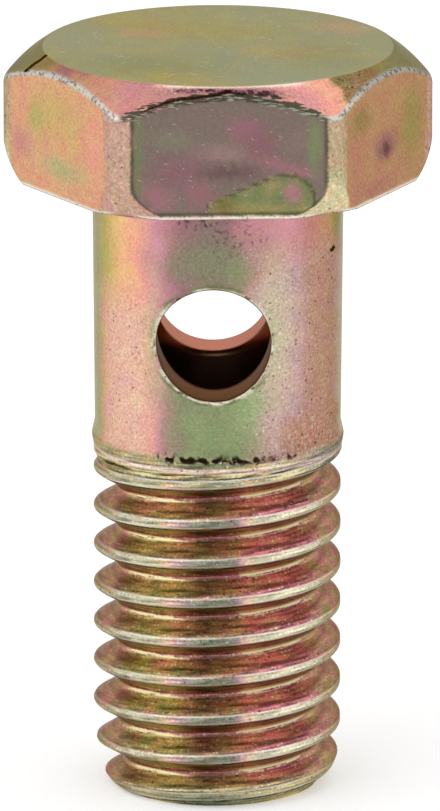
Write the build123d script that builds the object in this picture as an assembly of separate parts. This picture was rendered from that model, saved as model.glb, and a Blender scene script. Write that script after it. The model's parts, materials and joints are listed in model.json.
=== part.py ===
from build123d import *
from math import ceil, cos, hypot, pi, radians, sin, sqrt, tan
import os

# Banjo bolt, M8 x 1.25, cold-headed hexagon and rolled thread, turned out of one blank.
# Millimetres. Z = 0 is the bearing face under the head, +Z runs up through the head,
# and the cross hole runs along Y. Lengths below the head are measured down from Z = 0.

# Head
across_flats = 11.62
head_height = 4.05
hex_corner_radius = 0.8
top_circle_diameter = 10.8
top_chamfer_angle = 30.0
heel_height = 1.55
heel_arc_radius = 2.8
hex_turn = 2.7

# Shank: its diameter under the head, and how much less it is at the shoulder
shank_diameter = 7.72
shank_taper = 0.14
under_head_fillet = 0.3
shank_length = 7.75
shoulder_diameter = 7.78
shoulder_flare = 0.45
shoulder_fall = 0.3

# Thread
thread_diameter = 7.66
thread_pitch = 1.25
bolt_length = 19.3
point_length = 1.4
end_circle_diameter = 6.34
thread_start_angle = 1.3
run_out_turns = 1.0

# Oil ways
bore_diameter = 4.6
bore_depth = 16.8
drill_point_angle = 118.0
bore_mouth_chamfer = 0.15
cross_hole_diameter = 3.5
cross_hole_depth = 4.49
cross_hole_offset = -0.13
cross_hole_chamfer = 0.08

# Thread form
flank_angle = 30.0
crest_flat = thread_pitch / 8
root_flat = thread_pitch / 4
thread_depth = (thread_pitch - crest_flat - root_flat) / 2 / tan(radians(flank_angle))
shoulder_rise = max(shoulder_diameter - thread_diameter, 0) / 2

# How far cutters run clear of the solid, how far the head's turned envelope clears the tips
# of its corners, and the points that each turn of a helix passes through
cut_clearance = 0.1
corner_clearance = 0.03
rail_points_per_turn = 16


def turned(outline):
    """Solid of revolution about Z of an outline drawn as (radius, height) in the XZ plane."""
    return revolve(Plane.XZ * make_face(outline), axis=Axis.Z)


def head():
    """Hexagon with rounded corners, a cone over its top and corners drawn in at the heel.

    The envelope is turned: the cone stands on the top circle, and an arc that is upright
    at heel_height brings the corners in to the bearing face.
    """
    hexagon = RegularPolygon(across_flats / 2, 6, major_radius=False)
    prism = extrude(fillet(hexagon.vertices(), hex_corner_radius), head_height)
    corner_reach = (across_flats / 2 - hex_corner_radius) * 2 / sqrt(3) + hex_corner_radius
    reach = corner_reach + corner_clearance
    top_radius = top_circle_diameter / 2
    chamfer_drop = (reach - top_radius) * tan(radians(top_chamfer_angle))
    heel_rise = min(heel_height, heel_arc_radius)
    heel_radius = reach - heel_arc_radius + sqrt(heel_arc_radius**2 - heel_rise**2)
    sides = Polyline(
        (reach, heel_rise),
        (reach, head_height - chamfer_drop),
        (top_radius, head_height),
        (0, head_height),
        (0, 0),
        (heel_radius, 0),
    )
    heel = RadiusArc((heel_radius, 0), (reach, heel_rise), -heel_arc_radius)
    return Rot(0, 0, hex_turn) * (prism & turned(sides + heel))


def shank_and_blank():
    """Turned body: fillet under the head, shank, raised shoulder and the thread's blank.

    The fillet is two cones that meet at the middle of its arc. The blank's point is an arc
    that leaves the crests upright and ends on the end circle.
    """
    shank = shank_diameter / 2
    fillet_middle = under_head_fillet * (1 - sqrt(1 / 2))
    shoulder = shoulder_diameter / 2
    blank = thread_diameter / 2
    end = end_circle_diameter / 2
    flare_end = -shank_length - shoulder_flare
    sides = Polyline(
        (shank + under_head_fillet, 0),
        (0, 0),
        (0, -bolt_length),
        (end, -bolt_length),
    )
    point_radius = ((blank - end) ** 2 + point_length**2) / 2 / (blank - end)
    point = RadiusArc((end, -bolt_length), (blank, -bolt_length + point_length), -point_radius)
    body = Polyline(
        (blank, -bolt_length + point_length),
        (blank, flare_end - shoulder_fall),
        (shoulder, flare_end),
        (shank - shank_taper / 2, -shank_length),
        (shank, -under_head_fillet),
        (shank + fillet_middle, -fillet_middle),
        (shank + under_head_fillet, 0),
    )
    return Rot(0, 0, thread_start_angle + 180) * turned(sides + point + body)


def groove_lift(turn):
    """How far the groove's section stands out of its full depth, as it fades over the run-out.

    What is left of its depth falls off as a parabola, and it ends just clear of the shoulder.
    """
    fade = min(max(turn / run_out_turns, 0), 1)
    return thread_depth * (1 - (1 - fade) ** 2) + (shoulder_rise + cut_clearance) * fade**2


def groove_rail(height, depth, turns):
    """One corner of the groove's section, carried along a right-hand helix.

    Turn 0 is the last one at full depth, half a pitch below the shoulder. Along the run-out
    the section slides up its lower flank, so that the last crest stays on its helix.
    """
    shoulder_end = shank_length + shoulder_flare + shoulder_fall
    points = []
    for turn in turns:
        lift = groove_lift(turn)
        radius = thread_diameter / 2 - depth + lift
        z = thread_pitch * (turn - 1 / 2) - shoulder_end + height - lift * tan(radians(flank_angle))
        angle = radians(thread_start_angle) + 2 * pi * turn
        points.append((radius * cos(angle), radius * sin(angle), z))
    return Spline(*points)


def groove_cutter(turns):
    """Cutter for one stretch of the 60 degree thread: ruled flanks between four helical rails."""
    mouth = shoulder_rise + cut_clearance
    mouth_width = root_flat + 2 * (thread_depth + mouth) * tan(radians(flank_angle))
    section = [
        (-root_flat / 2, thread_depth),
        (-mouth_width / 2, -mouth),
        (mouth_width / 2, -mouth),
        (root_flat / 2, thread_depth),
    ]
    rails = [groove_rail(height, depth, turns) for height, depth in section]
    walls = [Face.make_surface_from_curves(rails[i - 1], rails[i]) for i in range(len(rails))]
    ends = [Face(Wire.make_polygon([rail @ end for rail in rails])) for end in (0, 1)]
    return Solid(Shell(walls + ends))


def thread_grooves():
    """The thread's cutters, half a turn each, from below the end up to where the groove is gone."""
    turns_below = ceil(bolt_length / thread_pitch)
    halves = 2 * turns_below + ceil(2 * run_out_turns)
    steps = rail_points_per_turn // 2
    cutters = []
    for half in range(halves):
        start = half / 2 - turns_below
        turns = [start + step / rail_points_per_turn for step in range(steps + 1)]
        cutters.append(groove_cutter(turns))
    return cutters


def axial_bore():
    """Blind drilling up the axis from the thread end, with its drill point and mouth chamfer."""
    radius = bore_diameter / 2
    point_height = radius / tan(radians(drill_point_angle / 2))
    top = -bolt_length + bore_depth
    return turned(
        Polyline(
            (0, -bolt_length),
            (radius + bore_mouth_chamfer, -bolt_length),
            (radius, -bolt_length + bore_mouth_chamfer),
            (radius, top),
            (0, top + point_height),
            close=True,
        )
    )


def cross_hole():
    """Drilling right through the shank along Y, a little off the axis."""
    drill = Cylinder(cross_hole_diameter / 2, shank_diameter + 2 * cut_clearance, rotation=(90, 0, 0))
    return Pos(cross_hole_offset, 0, -cross_hole_depth) * drill


def cross_hole_rims(drilled):
    """The edges where the cross hole comes out of the shank, further out than mid-wall."""
    hole_radius = cross_hole_diameter / 2
    mid_wall = (bore_diameter + shank_diameter) / 4
    beside = drilled.edges().filter_by_position(
        Axis.Z, -cross_hole_depth - hole_radius, -cross_hole_depth + hole_radius
    )
    return beside.filter_by(lambda edge: hypot((edge @ 0).X, (edge @ 0).Y) > mid_wall)


def banjo_bolt():
    """The whole bolt, one solid: turned, drilled, its rims chamfered, then threaded and headed."""
    bolt = shank_and_blank() - axial_bore() - cross_hole()
    bolt = chamfer(cross_hole_rims(bolt), cross_hole_chamfer)
    for cutter in thread_grooves():
        bolt -= cutter
    return bolt + head()


os.makedirs("parts", exist_ok=True)
export_step(banjo_bolt(), "parts/banjo_bolt.step")
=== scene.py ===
import json
from functools import partial
from math import cos, radians, sin, tan

import bmesh
import bpy
import numpy as np
from mathutils import Matrix, Vector

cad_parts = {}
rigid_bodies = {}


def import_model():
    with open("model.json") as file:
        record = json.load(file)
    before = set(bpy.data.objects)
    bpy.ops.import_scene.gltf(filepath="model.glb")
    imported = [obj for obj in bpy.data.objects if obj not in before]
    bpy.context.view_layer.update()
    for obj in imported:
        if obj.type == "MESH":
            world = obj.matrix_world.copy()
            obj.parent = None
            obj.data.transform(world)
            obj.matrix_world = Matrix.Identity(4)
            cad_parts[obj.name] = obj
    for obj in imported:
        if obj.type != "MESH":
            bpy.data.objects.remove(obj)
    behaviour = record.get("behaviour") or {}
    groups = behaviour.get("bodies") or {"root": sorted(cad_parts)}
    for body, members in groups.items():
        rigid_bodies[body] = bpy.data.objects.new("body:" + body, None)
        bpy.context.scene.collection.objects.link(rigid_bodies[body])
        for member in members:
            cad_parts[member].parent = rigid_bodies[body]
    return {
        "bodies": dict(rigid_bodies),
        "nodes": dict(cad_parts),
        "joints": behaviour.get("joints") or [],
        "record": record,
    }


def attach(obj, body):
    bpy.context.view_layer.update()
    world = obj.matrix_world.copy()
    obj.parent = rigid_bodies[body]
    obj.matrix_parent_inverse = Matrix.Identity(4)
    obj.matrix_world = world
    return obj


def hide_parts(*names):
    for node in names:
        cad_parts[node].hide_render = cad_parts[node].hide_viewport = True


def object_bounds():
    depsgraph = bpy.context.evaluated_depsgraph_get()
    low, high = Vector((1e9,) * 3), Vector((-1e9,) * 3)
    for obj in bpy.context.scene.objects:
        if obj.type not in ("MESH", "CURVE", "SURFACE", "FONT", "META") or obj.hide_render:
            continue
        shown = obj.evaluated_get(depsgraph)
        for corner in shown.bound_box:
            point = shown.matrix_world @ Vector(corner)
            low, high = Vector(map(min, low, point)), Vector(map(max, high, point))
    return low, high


bl_info = {
    "name": "Banjo bolt",
    "version": (1, 0, 0),
    "blender": (4, 5, 0),
    "location": "View3D > Sidebar > Banjo bolt",
    "description": "A hollow hexagon-headed bolt in yellow-passivated zinc, and the stage it stands on",
    "category": "Add Mesh",
}

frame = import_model()
CAD_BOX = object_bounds()

MM = 0.001
SIXTH = radians(60)
CHAMFER_ANGLE = radians(30)
CHAMFER_SLOPE = tan(CHAMFER_ANGLE)
FLANK_SLOPE = tan(radians(30))
DRILL_POINT = radians(118)

# The camera: its place in metres, where it is aimed in radians, and its focal length in pixels of
# a render that is this many pixels high
EYE = (0, -0.450, 0.111887)
EYE_PITCH, EYE_YAW, EYE_ROLL = 0.25906, 0.00015, 0.00088
FOCAL_LENGTH = 15102.29
IMAGE_HEIGHT = 811
SENSOR_WIDTH = 36.0

# The stage in metres: how far the floor reaches each way, and the lamp's place and width
FLOOR_REACH = 1.0
LAMP_PLACE = (-0.28, -0.25, 0.35)
LAMP_WIDTH = 0.5

# Every ring of the bolt has the same columns, so that neighbouring surfaces meet point to point.
# The head has twice as many, some of them round each half of a corner. The rest are rows down
# the side of the patch round the cross hole, rings from the hole out to it and rows per turn.
COLUMNS = 192
HEAD_COLUMNS = 2 * COLUMNS
CORNER_COLUMNS = 8
HOLE_SIDE_ROWS = 32
HOLE_RINGS = 14
TURN_ROWS = 26


def length(name, description, millimetres):
    """A Blender length property with its default given in millimetres."""
    return bpy.props.FloatProperty(
        name=name, description=description, default=millimetres * MM, precision=5, unit="LENGTH"
    )


def colour(name, description, value):
    """A Blender colour property with its default given as an sRGB hex value."""
    return bpy.props.FloatVectorProperty(
        name=name, description=description, default=linear(value), size=4, min=0, max=1, subtype="COLOR"
    )


def linear(value):
    """An sRGB hex value such as 'C0A060' as linear red, green, blue and an alpha of 1."""
    channels = np.array([int(value[i : i + 2], 16) for i in (0, 2, 4)]) / 255
    low = channels / 12.92
    high = ((channels + 0.055) / 1.055) ** 2.4
    return (*np.where(channels <= 0.04045, low, high), 1.0)


class BoltSizes(bpy.types.PropertyGroup):
    """Sizes of the bolt's surface."""

    across_flats: length("Across flats", "Width of the hexagon over two flats", 11.62)
    head_height: length("Head height", "Height of the head over its bearing face", 4.05)
    hex_corner_radius: length("Hexagon corner radius", "Rounding of the six upright corners", 0.8)
    top_circle_diameter: length("Top circle", "Circle where the flat top meets its chamfer", 10.8)
    corner_wear: length("Corner wear", "How far the top of a hexagon corner is worn down", 0.2)
    heel_height: length("Heel height", "Height over which the corners draw in to the bearing face", 1.55)
    heel_arc_radius: length("Heel arc radius", "Radius of the arc that draws the corners in", 2.8)
    shank_diameter: length("Shank", "Diameter of the shank under the head", 7.72)
    shank_end_diameter: length("Shank end", "Diameter of the shank at the shoulder", 7.58)
    under_head_fillet: length("Fillet", "Fillet between the shank and the bearing face", 0.3)
    shank_length: length("Shank length", "From the bearing face to the shoulder", 7.75)
    shoulder_diameter: length("Shoulder", "Diameter over the raised shoulder", 7.78)
    shoulder_flare: length("Shoulder flare", "Length over which the shank opens to the shoulder", 0.45)
    shoulder_fall: length("Shoulder fall", "Length over which the shoulder falls to the thread", 0.3)
    thread_diameter: length("Thread", "Diameter over the crests", 7.66)
    root_diameter: length("Thread root", "Diameter at the bottom of the grooves", 6.4)
    pitch: length("Pitch", "Distance from one crest to the next", 1.25)
    bolt_length: length("Length", "From the bearing face to the thread end", 19.3)
    point_length: length("Point length", "Length of the rounded point", 1.4)
    end_circle_diameter: length("End circle", "Diameter of the flat end", 6.44)
    bore_diameter: length("Bore", "Diameter of the drilling up the axis", 4.6)
    bore_depth: length("Bore depth", "Depth of the bore to the shoulder of its point", 16.8)
    bore_mouth_chamfer: length("Bore mouth", "Chamfer at the mouth of the bore", 0.15)
    cross_hole_diameter: length("Cross hole", "Diameter of the drilling across the shank", 3.5)
    cross_hole_depth: length("Cross hole depth", "From the bearing face to the cross hole's axis", 4.49)
    cross_hole_offset: length("Cross hole offset", "Sideways distance of the cross hole from the axis", -0.13)


class BoltFinish(bpy.types.PropertyGroup):
    """Colours of the passivated zinc, in the order that its film takes them as it thickens, then its other
    colours, some of which also paint highlights, glints and shade.
    """

    thin_film: colour("Thin film", "Grey olive at the film's thinnest", "AFB494")
    olive_film: colour("Olive film", "Olive yellow", "C4B56E")
    golden_film: colour("Golden film", "Golden orange", "EFBE88")
    salmon_film: colour("Salmon film", "Salmon", "F2AC92")
    pink_film: colour("Pink film", "Pink", "DA98A0")
    mauve_film: colour("Mauve film", "Mauve", "9E7078")
    grey_film: colour("Grey film", "Warm grey", "84786C")
    green_film: colour("Green film", "Leaf green", "8C9E68")
    second_gold_film: colour("Second gold", "Dull gold where the film is thick", "C6AC78")
    crimson_film: colour("Crimson film", "Red of the thread's flanks", "DC8490")
    thick_film: colour("Thick film", "Brown at the film's thickest", "94785A")
    # Also the colour of painted highlights on edges, crests and the thread's pale lines
    bare_zinc: colour("Bare zinc", "Grey white where edges are rubbed bare", "E8E4DA")
    # Also the colour of painted shade in the thread's roots and its dark lines
    grime: colour("Grime", "Dark brown grime in creases and roots", "241A12")
    # Painted glints of light on single grains
    glint: colour("Glint", "Pale grains that catch the light", "FFF2DC")
    hole_wall: colour("Hole wall", "Dull pink brown of the drilled walls", "B47C6E")
    # A painted highlight
    streak: colour("Streak", "Pale gold where the thread's roots catch the light", "FFF0B8")
    stain_line: colour("Stain line", "Olive line round the stain on the dark flats", "4E4A20")
    frame_line: colour("Frame line", "Grey green line round the dark flats", "4A4A3C")
    inside: colour("Inside", "Dark brown of the bore", "86644E")
    glancing: colour("Glancing tint", "What is left of the light that glances off the metal", "C0B8AC")
    crease: colour("Crease", "Maroon of the folds on the chamfer", "3A1A12")
    fleck: colour("Fleck", "Pale grey green flecks along the dark edge", "B4BCA6")


# Where the film stands on its way from thin to thick, for each of the finish's colours
FILM_STAGES = (
    (0.00, "thin_film"),
    (0.14, "olive_film"),
    (0.30, "golden_film"),
    (0.45, "salmon_film"),
    (0.60, "pink_film"),
    (0.75, "mauve_film"),
    (0.88, "grey_film"),
    (1.00, "green_film"),
    (1.13, "second_gold_film"),
    (1.30, "crimson_film"),
    (1.45, "thick_film"),
)
# A distance that counts as nowhere near a drawn line
FAR = 0.6


# ---------------------------------------------------------------- curves


def smooth_step(value, low, high):
    """0 below low, 1 above high and a smooth rise between."""
    t = np.clip((value - low) / (high - low), 0, 1)
    return t * t * (3 - 2 * t)


def between(value, start, full, fading, gone):
    """0 before start and after gone, 1 from full to fading, and smooth slopes between."""
    return smooth_step(value, start, full) * (1 - smooth_step(value, fading, gone))


def ridge(value, centre, half):
    """A soft line: 1 at its centre, falling off to both sides as a bell of this half width."""
    return np.exp(-(((value - centre) / half) ** 2))


def soft_min(a, b, softness):
    """The smaller of two surfaces, joined by a parabola where they are within softness."""
    share = np.clip(0.5 + (b - a) / (2 * softness), 0, 1)
    return b + (a - b) * share - softness * share * (1 - share)


def soft_max(a, b, softness):
    """The larger of two surfaces, joined by a parabola where they are within softness."""
    return -soft_min(-a, -b, softness)


# ---------------------------------------------------------------- surfaces


def from_polar(angle, radius, height):
    """Points from angle, radius and height, all arrays of one shape."""
    angle, radius, height = np.broadcast_arrays(angle, radius, height)
    return np.stack([radius * np.cos(angle), radius * np.sin(angle), height], axis=-1)


def soft_profile(corners, reaches, counts, bend_rows=4):
    """Rows of a profile through its corners, each column having corners of its own.

    The profile runs straight from corner to corner, counts giving the rows of each run. An
    inner corner with a reach is replaced by the parabola that leaves the run before it and
    joins the run after it at that distance from the corner.
    """
    rows = [corners[0]]
    for i in range(1, len(corners)):
        before, here = corners[i - 1], corners[i]
        last = i == len(corners) - 1
        reach = 0.0 if last else reaches[i - 1]
        along = (here - before) / np.maximum(np.linalg.norm(here - before, axis=0), 1e-9)
        start, end = rows[-1], here - along * reach
        for step in range(1, counts[i - 1] + 1):
            rows.append(start + (end - start) * step / counts[i - 1])
        if last or np.max(reach) == 0:
            continue
        onward = (corners[i + 1] - here) / np.maximum(np.linalg.norm(corners[i + 1] - here, axis=0), 1e-9)
        leave = here + onward * reach
        for step in range(1, bend_rows + 1):
            t = step / bend_rows
            rows.append((1 - t) ** 2 * end + 2 * t * (1 - t) * here + t**2 * leave)
    return np.array(rows)


class Outline:
    """The bolt's sizes in millimetres, and the curves that its surfaces share."""

    def __init__(self, sizes):
        for name in BoltSizes.__annotations__:
            setattr(self, name, getattr(sizes, name) / MM)
        self.hex_turn = radians(2.7)
        # The skin's flats lie this much inside the solid's
        skin_depth = 0.002
        self.apothem = self.across_flats / 2 - skin_depth
        self.corner_centre = (self.apothem - self.hex_corner_radius) * 2 / np.sqrt(3)
        self.corner_reach = self.corner_centre + self.hex_corner_radius
        self.ring = 2 * np.pi * np.arange(COLUMNS + 1) / COLUMNS
        # The root of the first full groove, half a pitch below the shoulder at this angle
        self.groove_start = radians(1.3)
        self.thread_top = -self.shank_length - self.shoulder_flare - self.shoulder_fall
        self.first_groove = self.thread_top - self.pitch / 2

    def helix_start(self):
        """Height at which the root of the first full groove passes angle 0."""
        return self.first_groove - self.pitch * self.groove_start / (2 * np.pi)

    def hexagon(self):
        """Angles and radii of the rounded hexagon at the head's columns.

        One sixth runs over half a corner's arc, a straight flat and half the next corner's
        arc. The whole is that sixth turned six times.
        """
        flat_columns = HEAD_COLUMNS // 6 - 2 * CORNER_COLUMNS
        arc = SIXTH / 2 * np.arange(CORNER_COLUMNS) / CORNER_COLUMNS
        half_flat = (self.apothem - self.hex_corner_radius) * tan(SIXTH / 2)
        first = self.corner_centre + self.hex_corner_radius * np.exp(1j * arc)
        along = np.linspace(-half_flat, half_flat, flat_columns + 1)
        flat = (self.apothem + 1j * along) * np.exp(1j * SIXTH / 2)
        last_arc = SIXTH / 2 * (1 + np.arange(1, CORNER_COLUMNS) / CORNER_COLUMNS)
        turned_centre = self.corner_centre * np.exp(1j * SIXTH)
        last = turned_centre + self.hex_corner_radius * np.exp(1j * last_arc)
        sixth = np.concatenate([first, flat, last])
        sides = np.exp(1j * SIXTH * np.arange(6))[:, None]
        points = (sixth[None, :] * sides).ravel()
        points = np.append(points, points[0])
        angles = np.unwrap(np.angle(points))
        return angles + self.hex_turn, np.abs(points)

    def hexagon_radius(self, angle):
        """Radius of the rounded hexagon at any angle: the flat's, or the corner arc's if less."""
        from_flat = np.abs((angle - self.hex_turn) % SIXTH - SIXTH / 2)
        flat = self.apothem / np.cos(from_flat)
        from_corner = SIXTH / 2 - from_flat
        centre, radius = self.corner_centre, self.hex_corner_radius
        arc = centre * np.cos(from_corner) + np.sqrt(
            np.maximum(radius**2 - (centre * np.sin(from_corner)) ** 2, 0)
        )
        tangent = np.arctan2((self.apothem - radius) * tan(SIXTH / 2), self.apothem)
        return np.where(from_flat < tangent, flat, arc)

    def cone_height(self, radius):
        """Height of the top chamfer's cone at a radius."""
        return self.head_height - (radius - self.top_circle_diameter / 2) * CHAMFER_SLOPE

    def wear(self, angle):
        """How far the chamfer's lower edge is worn down: most on the corners, each its own way."""
        beyond = self.hexagon_radius(angle) - self.apothem
        corner = np.clip(beyond / (self.corner_reach - self.apothem), 0, 1)
        uneven = 1 + 0.35 * np.cos(angle - radians(10)) + 0.12 * np.sin(5 * angle)
        all_round = 0.05
        return self.corner_wear * corner**1.2 * uneven + all_round

    def shank(self, height):
        """Radius of the tapering shank at a height."""
        top, end = self.shank_diameter / 2, self.shank_end_diameter / 2
        down = (-self.under_head_fillet - height) / (self.shank_length - self.under_head_fillet)
        return top + (end - top) * down

    def blank(self, height):
        """Radius of the blank that the thread is rolled on, with its corners rubbed soft.

        Straight runs for the shank, the flare, the fall of the shoulder and the thread, and an
        arc for the point, averaged over a short window of height.
        """
        flare_top = -self.shank_length
        shoulder = flare_top - self.shoulder_flare
        point_top = -self.bolt_length + self.point_length
        table = np.linspace(-self.bolt_length - 0.5, -5.0, 4001)
        radius = np.interp(
            table,
            [shoulder - self.shoulder_fall, shoulder, flare_top],
            [self.thread_diameter / 2, self.shoulder_diameter / 2, self.shank_end_diameter / 2],
        )
        radius = np.where(table > flare_top, self.shank(table), radius)
        narrowing = self.thread_diameter / 2 - self.end_circle_diameter / 2
        arc = (narrowing**2 + self.point_length**2) / 2 / narrowing
        below = np.clip(point_top - table, 0, arc * 0.98)
        radius = radius - (arc - np.sqrt(arc**2 - below**2))
        half_window = 30
        window = np.hanning(2 * half_window + 1)
        padded = np.pad(radius, half_window, mode="edge")
        smooth = np.convolve(padded, window / window.sum(), mode="valid")
        # The end face meets the point in a small round
        end_rise, end_inset = 0.09, 0.07
        above_end = np.clip((height + self.bolt_length) / end_rise, 0, 1)
        return np.interp(height, table, smooth) - end_inset * (1 - np.sqrt(1 - (1 - above_end) ** 2))

    def thread(self, angle, height):
        """Radius of the threaded part: the blank with the groove's turns cut into it.

        Each turn's section is a soft V over the distance from its helix. Over the last turn
        below the shoulder the section lifts out of the blank as its depth falls off.
        """
        surface = self.blank(height)
        plus_x, minus_x = np.clip(np.cos(angle), 0, 1), np.clip(-np.cos(angle), 0, 1)
        # The crests are rubbed lower on +X
        surface = surface - 0.035 * plus_x * smooth_step(-height, 8.6, 9.4)
        # The grooves run deeper on the sides, most on -X where they also lie lower, and at the end
        near_end = np.clip((self.point_length - 0.3 - self.bolt_length - height) / 0.9, 0, 1)
        last_groove = between(-height, 17.2, 17.9, 18.5, 19.2)
        root = self.root_diameter / 2 - 0.09 * minus_x - 0.03 * plus_x
        deeper = 0.12 * near_end + 0.20 * minus_x * last_groove
        lower = 0.08 * minus_x * np.clip((height + 15.5) / 5.5, 0, 1)
        # Half the flat of the root above and below its middle, and how soft its bends and the
        # crests' bends are
        half_above, half_below = 0.07, 0.15
        root_softness, crest_softness = 0.2, 0.14
        # How far past the blank the section stands when the groove has run out
        clear = 0.16
        depth = self.thread_diameter / 2 - root
        for turn in range(-10, 2):
            turns = (angle - self.groove_start) / (2 * np.pi) + turn
            fade = np.clip(turns, 0, 1)
            lift = depth * (1 - (1 - fade) ** 2) + clear * fade**2 + 5 * np.clip(turns - 1, 0, 1)
            beside = height - (self.first_groove + self.pitch * turns - lift * FLANK_SLOPE - lower)
            past_flat = (np.abs(beside) - np.where(beside > 0, half_above, half_below)) / FLANK_SLOPE
            section = root + lift - deeper + soft_max(past_flat, 0 * beside, root_softness)
            surface = soft_min(surface, section, crest_softness)
        return surface


def head_surfaces(outline):
    """The head: for each column a profile from the middle of the top out over the chamfer,
    down the flat or corner and in round the heel, then the bearing face and the fillet."""
    angles, reach = outline.hexagon()
    zero = np.zeros_like(reach)
    top = outline.top_circle_diameter / 2
    wall_top = outline.cone_height(reach) - outline.wear(angles)
    envelope = outline.corner_reach + 0.03
    arc = outline.heel_arc_radius

    def heel(height):
        return envelope - arc + np.sqrt(arc**2 - (outline.heel_height - height) ** 2)

    inside = np.clip(reach - envelope + arc, 0, arc)
    meets = np.where(reach > heel(zero), outline.heel_height - np.sqrt(arc**2 - inside**2), 0)
    heel_top = np.maximum(meets, 0.25)
    corners = [
        (zero, zero + outline.head_height),
        (zero + top, zero + outline.head_height),
        (reach, wall_top),
        (reach, heel_top),
    ]
    top_rows, chamfer_rows, wall_rows, heel_rows = 7, 8, 20, 7
    for row in range(1, heel_rows + 1):
        height = heel_top * (1 - row / heel_rows)
        corners.append((np.minimum(reach, heel(height)), height))
    foot = corners[-1][0]
    ring_radius = outline.shank_diameter / 2 + outline.under_head_fillet
    corners.append((zero + ring_radius, zero))
    corners = np.array(corners)
    corner_share = (reach - outline.apothem) / (outline.corner_reach - outline.apothem)
    top_bend, edge_bend = 0.09, 0.12 + 0.1 * corner_share
    reaches = [top_bend, edge_bend] + [0.0] * heel_rows
    rows = soft_profile(corners[:-1], reaches, [top_rows, chamfer_rows, wall_rows] + [1] * heel_rows)
    rows[-1] = np.array([foot, zero])
    profile = from_polar(angles, rows[:, 0], rows[:, 1])
    rings = 4
    share = (np.arange(rings + 1) / rings)[:, None]
    # The innermost ring has every other column's point twice, and so meets the shank's rings
    halved = outline.ring[np.arange(HEAD_COLUMNS + 1) // 2]
    bearing = from_polar(
        angles * (1 - share) + halved * share, foot + (ring_radius - foot) * share, 0.0 * share
    )
    bend = np.radians(np.linspace(0, 90, 6))[:, None]
    fillet_radius = outline.under_head_fillet
    fillet = from_polar(
        outline.ring,
        ring_radius - fillet_radius * np.sin(bend),
        -fillet_radius * (1 - np.cos(bend)) + 0 * outline.ring,
    )
    return [profile, bearing, fillet]


def shank_surfaces(outline, hole_top, hole_bottom, thread_top):
    """The shank above and below the cross hole, as rings, down to where the thread's rows start."""
    above = np.linspace(-outline.under_head_fillet, hole_top, 9)[:, None]
    below = np.linspace(hole_bottom, thread_top, 5)[:, None]
    surfaces = [from_polar(outline.ring, outline.shank(above), above + 0 * outline.ring)]
    radius = outline.thread(outline.ring, below + 0 * outline.ring)
    radius[0] = outline.shank(below[0])
    surfaces.append(from_polar(outline.ring, radius, below + 0 * outline.ring))
    return surfaces


def hole_frame(top, bottom):
    """The border of a patch of cylinder round the cross hole, as angle and height.

    It runs along the top, down the right, back along the bottom and up the left.
    """
    across = np.linspace(np.pi, 2 * np.pi, COLUMNS // 2 + 1)
    down = np.linspace(top, bottom, HOLE_SIDE_ROWS + 1)
    angle = np.concatenate([across, 0 * down[1:] + across[-1], across[::-1][1:], 0 * down[1:] + across[0]])
    height = np.concatenate([0 * across + top, down[1:], 0 * across[1:] + bottom, down[::-1][1:]])
    return angle, height


def cross_hole_surfaces(outline, top, bottom):
    """The shank's two sides round the cross hole, the hole's walls and the bore inside.

    On the near side the rim is a circle seen along Y. Rings go from the rim to the border of
    the patch in equal shares of angle and height. The far side is the near side mirrored.
    """
    centre_x, centre_z = outline.cross_hole_offset, -outline.cross_hole_depth
    hole = outline.cross_hole_diameter / 2
    # The round of the rim, and how far the burr's foot spreads
    edge, burr_foot = 0.08, 0.1
    border_angle, border_height = hole_frame(top, bottom)
    shank = outline.shank(border_height)
    sideways = shank * (border_angle - 1.5 * np.pi) - centre_x
    ray = np.unwrap(np.arctan2(border_height - centre_z, sideways))
    even = ray[0] - 2 * np.pi * np.arange(len(ray)) / (len(ray) - 1)
    ray[-1] = ray[0] - 2 * np.pi
    turn = 0.5 * ray + 0.5 * even
    out_x, out_z = np.cos(turn), np.sin(turn)

    def on_cylinder(radius_at, reach):
        x, z = centre_x + reach * out_x, centre_z + reach * out_z
        y = -np.sqrt(radius_at(z) ** 2 - x**2)
        return x, y, z

    ragged = 0.5 + 0.25 * np.sin(9 * turn + 1) + 0.25 * np.sin(23 * turn)
    burr = 0.012 + 0.035 * ragged
    x, y, z = on_cylinder(lambda level: outline.shank(level) + burr, hole + edge)
    rim_angle = np.arctan2(y, x) % (2 * np.pi)
    share = (np.arange(HOLE_RINGS + 1)[:, None] / HOLE_RINGS) ** 1.35
    angle = rim_angle * (1 - share) + border_angle * share
    height = z * (1 - share) + border_height * share
    away = np.hypot((angle - rim_angle) * shank, height - z)
    lip = burr * ridge(away, 0, burr_foot)
    outside = from_polar(angle, outline.shank(height) + lip, height)

    bend = np.radians(np.linspace(0, 90, 5))[:, None]
    reach = hole + edge - edge * np.sin(bend)
    depth = edge * (1 - np.cos(bend))
    rim_lip = burr * (1 - bend / bend[-1])
    x, y, z = on_cylinder(lambda level: outline.shank(level) + rim_lip, reach)
    rim = np.stack([x, y + depth, z + 0 * y], axis=-1)
    bore = outline.bore_diameter / 2
    x, y, z = on_cylinder(lambda level: bore + 0 * level, hole + 0 * bend[:1])
    wall_share = np.linspace(0, 1, 6)[:, None, None]
    wall = rim[-1][None] * (1 - wall_share) + np.stack([x, y, z], axis=-1)[0][None] * wall_share

    bore_top = -outline.bolt_length + outline.bore_depth
    bore_border_angle, bore_border_height = hole_frame(bore_top, bottom)
    inner_angle = np.arctan2(y, x)[0] % (2 * np.pi)
    share = np.linspace(0, 1, 5)[:, None]
    inside = from_polar(
        inner_angle * (1 - share) + bore_border_angle * share,
        bore + 0 * share,
        z[0] * (1 - share) + bore_border_height * share,
    )
    near = [outside, rim, wall, inside]
    far = [surface * np.array([1, -1, 1]) for surface in near]
    return near + far


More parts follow.
